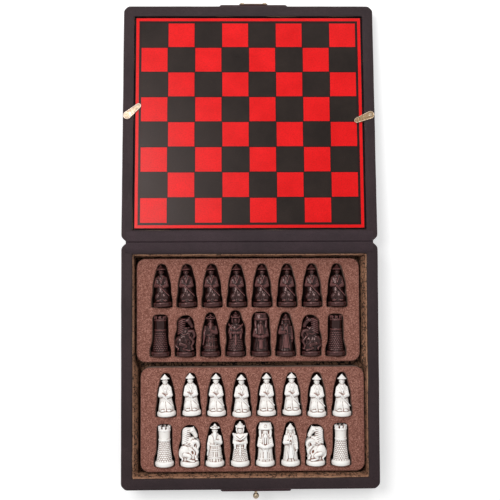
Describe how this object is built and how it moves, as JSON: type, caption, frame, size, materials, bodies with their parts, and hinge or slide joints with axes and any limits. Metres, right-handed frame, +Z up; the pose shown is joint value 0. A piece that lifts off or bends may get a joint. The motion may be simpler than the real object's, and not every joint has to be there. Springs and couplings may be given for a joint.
{
  "type": "chess box",
  "caption": "Folding leatherette game box, open: checkered board held in the lid by turn clips, two flocked trays of lying figure chessmen in the base, front hasp and knob.",
  "frame": {"origin": "middle of the underside of the base half, on the table", "axes": "+X to the right, +Y towards the open lid, +Z up; the clasp knob is on the -Y side"},
  "size_m": [0.26, 0.5105, 0.0372],
  "materials": {
    "leatherette": "embossed dark brown leatherette, satin",
    "clasp_pad": "smooth dark leatherette patch",
    "lining_paper": "golden brown printed lining paper",
    "board_wood": "raw board, covered in use",
    "board_face": "red and black checkered print, satin",
    "brass": "aged brass",
    "flock": "brown flock over a moulded bed",
    "dark_resin": "dark reddish brown cast resin",
    "ivory_resin": "ivory cast resin with brown antiquing in the folds"
  },
  "bodies": {
    "base": {"base_bottom_sheet": "leatherette", "base_floor_board": "board_wood", "base_front_board": "board_wood", "base_back_board": "board_wood", "base_side_boards": "board_wood", "base_covering": "leatherette", "base_lining": "lining_paper", "base_clasp_pad": "clasp_pad", "clasp_knob": "brass", "hinge_strip_base": "leatherette"},
    "lid": {"lid_top_sheet": "leatherette", "lid_panel": "board_wood", "lid_front_board": "board_wood", "lid_back_board": "board_wood", "lid_side_boards": "board_wood", "lid_covering": "leatherette", "board_ledge": "board_wood", "game_board": "board_face", "clip_rivets": "brass", "lid_clasp_pad": "clasp_pad", "hasp_plate": "brass", "hasp_pin": "brass", "hinge_strip_lid": "leatherette"},
    "left_clip": {"clip_left": "brass"},
    "right_clip": {"clip_right": "brass"},
    "flap": {"hasp_flap": "brass"},
    "dark_tray_body": {"dark_tray": "flock"},
    "white_tray_body": {"white_tray": "flock"},
    "dark_pawn_1_body": {"dark_pawn_1": "dark_resin"},
    "dark_pawn_2_body": {"dark_pawn_2": "dark_resin"},
    "dark_pawn_3_body": {"dark_pawn_3": "dark_resin"},
    "dark_pawn_4_body": {"dark_pawn_4": "dark_resin"},
    "dark_pawn_5_body": {"dark_pawn_5": "dark_resin"},
    "dark_pawn_6_body": {"dark_pawn_6": "dark_resin"},
    "dark_pawn_7_body": {"dark_pawn_7": "dark_resin"},
    "dark_pawn_8_body": {"dark_pawn_8": "dark_resin"},
    "dark_rook_1_body": {"dark_rook_1": "dark_resin"},
    "dark_knight_1_body": {"dark_knight_1": "dark_resin"},
    "dark_bishop_1_body": {"dark_bishop_1": "dark_resin"},
    "dark_queen_body": {"dark_queen": "dark_resin"},
    "dark_king_body": {"dark_king": "dark_resin"},
    "dark_bishop_2_body": {"dark_bishop_2": "dark_resin"},
    "dark_knight_2_body": {"dark_knight_2": "dark_resin"},
    "dark_rook_2_body": {"dark_rook_2": "dark_resin"},
    "white_pawn_1_body": {"white_pawn_1": "ivory_resin"},
    "white_pawn_2_body": {"white_pawn_2": "ivory_resin"},
    "white_pawn_3_body": {"white_pawn_3": "ivory_resin"},
    "white_pawn_4_body": {"white_pawn_4": "ivory_resin"},
    "white_pawn_5_body": {"white_pawn_5": "ivory_resin"},
    "white_pawn_6_body": {"white_pawn_6": "ivory_resin"},
    "white_pawn_7_body": {"white_pawn_7": "ivory_resin"},
    "white_pawn_8_body": {"white_pawn_8": "ivory_resin"},
    "white_rook_1_body": {"white_rook_1": "ivory_resin"},
    "white_knight_1_body": {"white_knight_1": "ivory_resin"},
    "white_bishop_1_body": {"white_bishop_1": "ivory_resin"},
    "white_queen_body": {"white_queen": "ivory_resin"},
    "white_king_body": {"white_king": "ivory_resin"},
    "white_bishop_2_body": {"white_bishop_2": "ivory_resin"},
    "white_knight_2_body": {"white_knight_2": "ivory_resin"},
    "white_rook_2_body": {"white_rook_2": "ivory_resin"}
  },
  "joints": [
    {"name": "lid_hinge", "type": "hinge", "parent": "base", "child": "lid", "pos_m": [0, 0.12475, 0.03665], "axis": [-1, 0, 0], "range_deg": [-183.93, 0]},
    {"name": "left_clip_turn", "type": "hinge", "parent": "lid", "child": "left_clip", "pos_m": [-0.1254, 0.2558, 0.02699], "axis": [0, 0.0686, 0.9976], "continuous": true},
    {"name": "right_clip_turn", "type": "hinge", "parent": "lid", "child": "right_clip", "pos_m": [0.1254, 0.2558, 0.02699], "axis": [0, 0.0686, 0.9976], "continuous": true},
    {"name": "flap_hinge", "type": "hinge", "parent": "lid", "child": "flap", "pos_m": [0.0052, 0.37549, 0.01555], "axis": [1, 0, 0], "range_deg": [-3.93, 176.07]},
    {"name": "dark_tray_lift", "type": "slide", "parent": "base", "child": "dark_tray_body", "axis": [0, 0, 1], "range_m": [0, 0.06]},
    {"name": "white_tray_lift", "type": "slide", "parent": "base", "child": "white_tray_body", "axis": [0, 0, 1], "range_m": [0, 0.06]},
    {"name": "dark_pawn_1_lift", "type": "slide", "parent": "dark_tray_body", "child": "dark_pawn_1_body", "axis": [0, 0, 1], "range_m": [0, 0.03]},
    {"name": "dark_pawn_2_lift", "type": "slide", "parent": "dark_tray_body", "child": "dark_pawn_2_body", "axis": [0, 0, 1], "range_m": [0, 0.03]},
    {"name": "dark_pawn_3_lift", "type": "slide", "parent": "dark_tray_body", "child": "dark_pawn_3_body", "axis": [0, 0, 1], "range_m": [0, 0.03]},
    {"name": "dark_pawn_4_lift", "type": "slide", "parent": "dark_tray_body", "child": "dark_pawn_4_body", "axis": [0, 0, 1], "range_m": [0, 0.03]},
    {"name": "dark_pawn_5_lift", "type": "slide", "parent": "dark_tray_body", "child": "dark_pawn_5_body", "axis": [0, 0, 1], "range_m": [0, 0.03]},
    {"name": "dark_pawn_6_lift", "type": "slide", "parent": "dark_tray_body", "child": "dark_pawn_6_body", "axis": [0, 0, 1], "range_m": [0, 0.03]},
    {"name": "dark_pawn_7_lift", "type": "slide", "parent": "dark_tray_body", "child": "dark_pawn_7_body", "axis": [0, 0, 1], "range_m": [0, 0.03]},
    {"name": "dark_pawn_8_lift", "type": "slide", "parent": "dark_tray_body", "child": "dark_pawn_8_body", "axis": [0, 0, 1], "range_m": [0, 0.03]},
    {"name": "dark_rook_1_lift", "type": "slide", "parent": "dark_tray_body", "child": "dark_rook_1_body", "axis": [0, 0, 1], "range_m": [0, 0.03]},
    {"name": "dark_knight_1_lift", "type": "slide", "parent": "dark_tray_body", "child": "dark_knight_1_body", "axis": [0, 0, 1], "range_m": [0, 0.03]},
    {"name": "dark_bishop_1_lift", "type": "slide", "parent": "dark_tray_body", "child": "dark_bishop_1_body", "axis": [0, 0, 1], "range_m": [0, 0.03]},
    {"name": "dark_queen_lift", "type": "slide", "parent": "dark_tray_body", "child": "dark_queen_body", "axis": [0, 0, 1], "range_m": [0, 0.03]},
    {"name": "dark_king_lift", "type": "slide", "parent": "dark_tray_body", "child": "dark_king_body", "axis": [0, 0, 1], "range_m": [0, 0.03]},
    {"name": "dark_bishop_2_lift", "type": "slide", "parent": "dark_tray_body", "child": "dark_bishop_2_body", "axis": [0, 0, 1], "range_m": [0, 0.03]},
    {"name": "dark_knight_2_lift", "type": "slide", "parent": "dark_tray_body", "child": "dark_knight_2_body", "axis": [0, 0, 1], "range_m": [0, 0.03]},
    {"name": "dark_rook_2_lift", "type": "slide", "parent": "dark_tray_body", "child": "dark_rook_2_body", "axis": [0, 0, 1], "range_m": [0, 0.03]},
    {"name": "white_pawn_1_lift", "type": "slide", "parent": "white_tray_body", "child": "white_pawn_1_body", "axis": [0, 0, 1], "range_m": [0, 0.03]},
    {"name": "white_pawn_2_lift", "type": "slide", "parent": "white_tray_body", "child": "white_pawn_2_body", "axis": [0, 0, 1], "range_m": [0, 0.03]},
    {"name": "white_pawn_3_lift", "type": "slide", "parent": "white_tray_body", "child": "white_pawn_3_body", "axis": [0, 0, 1], "range_m": [0, 0.03]},
    {"name": "white_pawn_4_lift", "type": "slide", "parent": "white_tray_body", "child": "white_pawn_4_body", "axis": [0, 0, 1], "range_m": [0, 0.03]},
    {"name": "white_pawn_5_lift", "type": "slide", "parent": "white_tray_body", "child": "white_pawn_5_body", "axis": [0, 0, 1], "range_m": [0, 0.03]},
    {"name": "white_pawn_6_lift", "type": "slide", "parent": "white_tray_body", "child": "white_pawn_6_body", "axis": [0, 0, 1], "range_m": [0, 0.03]},
    {"name": "white_pawn_7_lift", "type": "slide", "parent": "white_tray_body", "child": "white_pawn_7_body", "axis": [0, 0, 1], "range_m": [0, 0.03]},
    {"name": "white_pawn_8_lift", "type": "slide", "parent": "white_tray_body", "child": "white_pawn_8_body", "axis": [0, 0, 1], "range_m": [0, 0.03]},
    {"name": "white_rook_1_lift", "type": "slide", "parent": "white_tray_body", "child": "white_rook_1_body", "axis": [0, 0, 1], "range_m": [0, 0.03]},
    {"name": "white_knight_1_lift", "type": "slide", "parent": "white_tray_body", "child": "white_knight_1_body", "axis": [0, 0, 1], "range_m": [0, 0.03]},
    {"name": "white_bishop_1_lift", "type": "slide", "parent": "white_tray_body", "child": "white_bishop_1_body", "axis": [0, 0, 1], "range_m": [0, 0.03]},
    {"name": "white_queen_lift", "type": "slide", "parent": "white_tray_body", "child": "white_queen_body", "axis": [0, 0, 1], "range_m": [0, 0.03]},
    {"name": "white_king_lift", "type": "slide", "parent": "white_tray_body", "child": "white_king_body", "axis": [0, 0, 1], "range_m": [0, 0.03]},
    {"name": "white_bishop_2_lift", "type": "slide", "parent": "white_tray_body", "child": "white_bishop_2_body", "axis": [0, 0, 1], "range_m": [0, 0.03]},
    {"name": "white_knight_2_lift", "type": "slide", "parent": "white_tray_body", "child": "white_knight_2_body", "axis": [0, 0, 1], "range_m": [0, 0.03]},
    {"name": "white_rook_2_lift", "type": "slide", "parent": "white_tray_body", "child": "white_rook_2_body", "axis": [0, 0, 1], "range_m": [0, 0.03]}
  ]
}
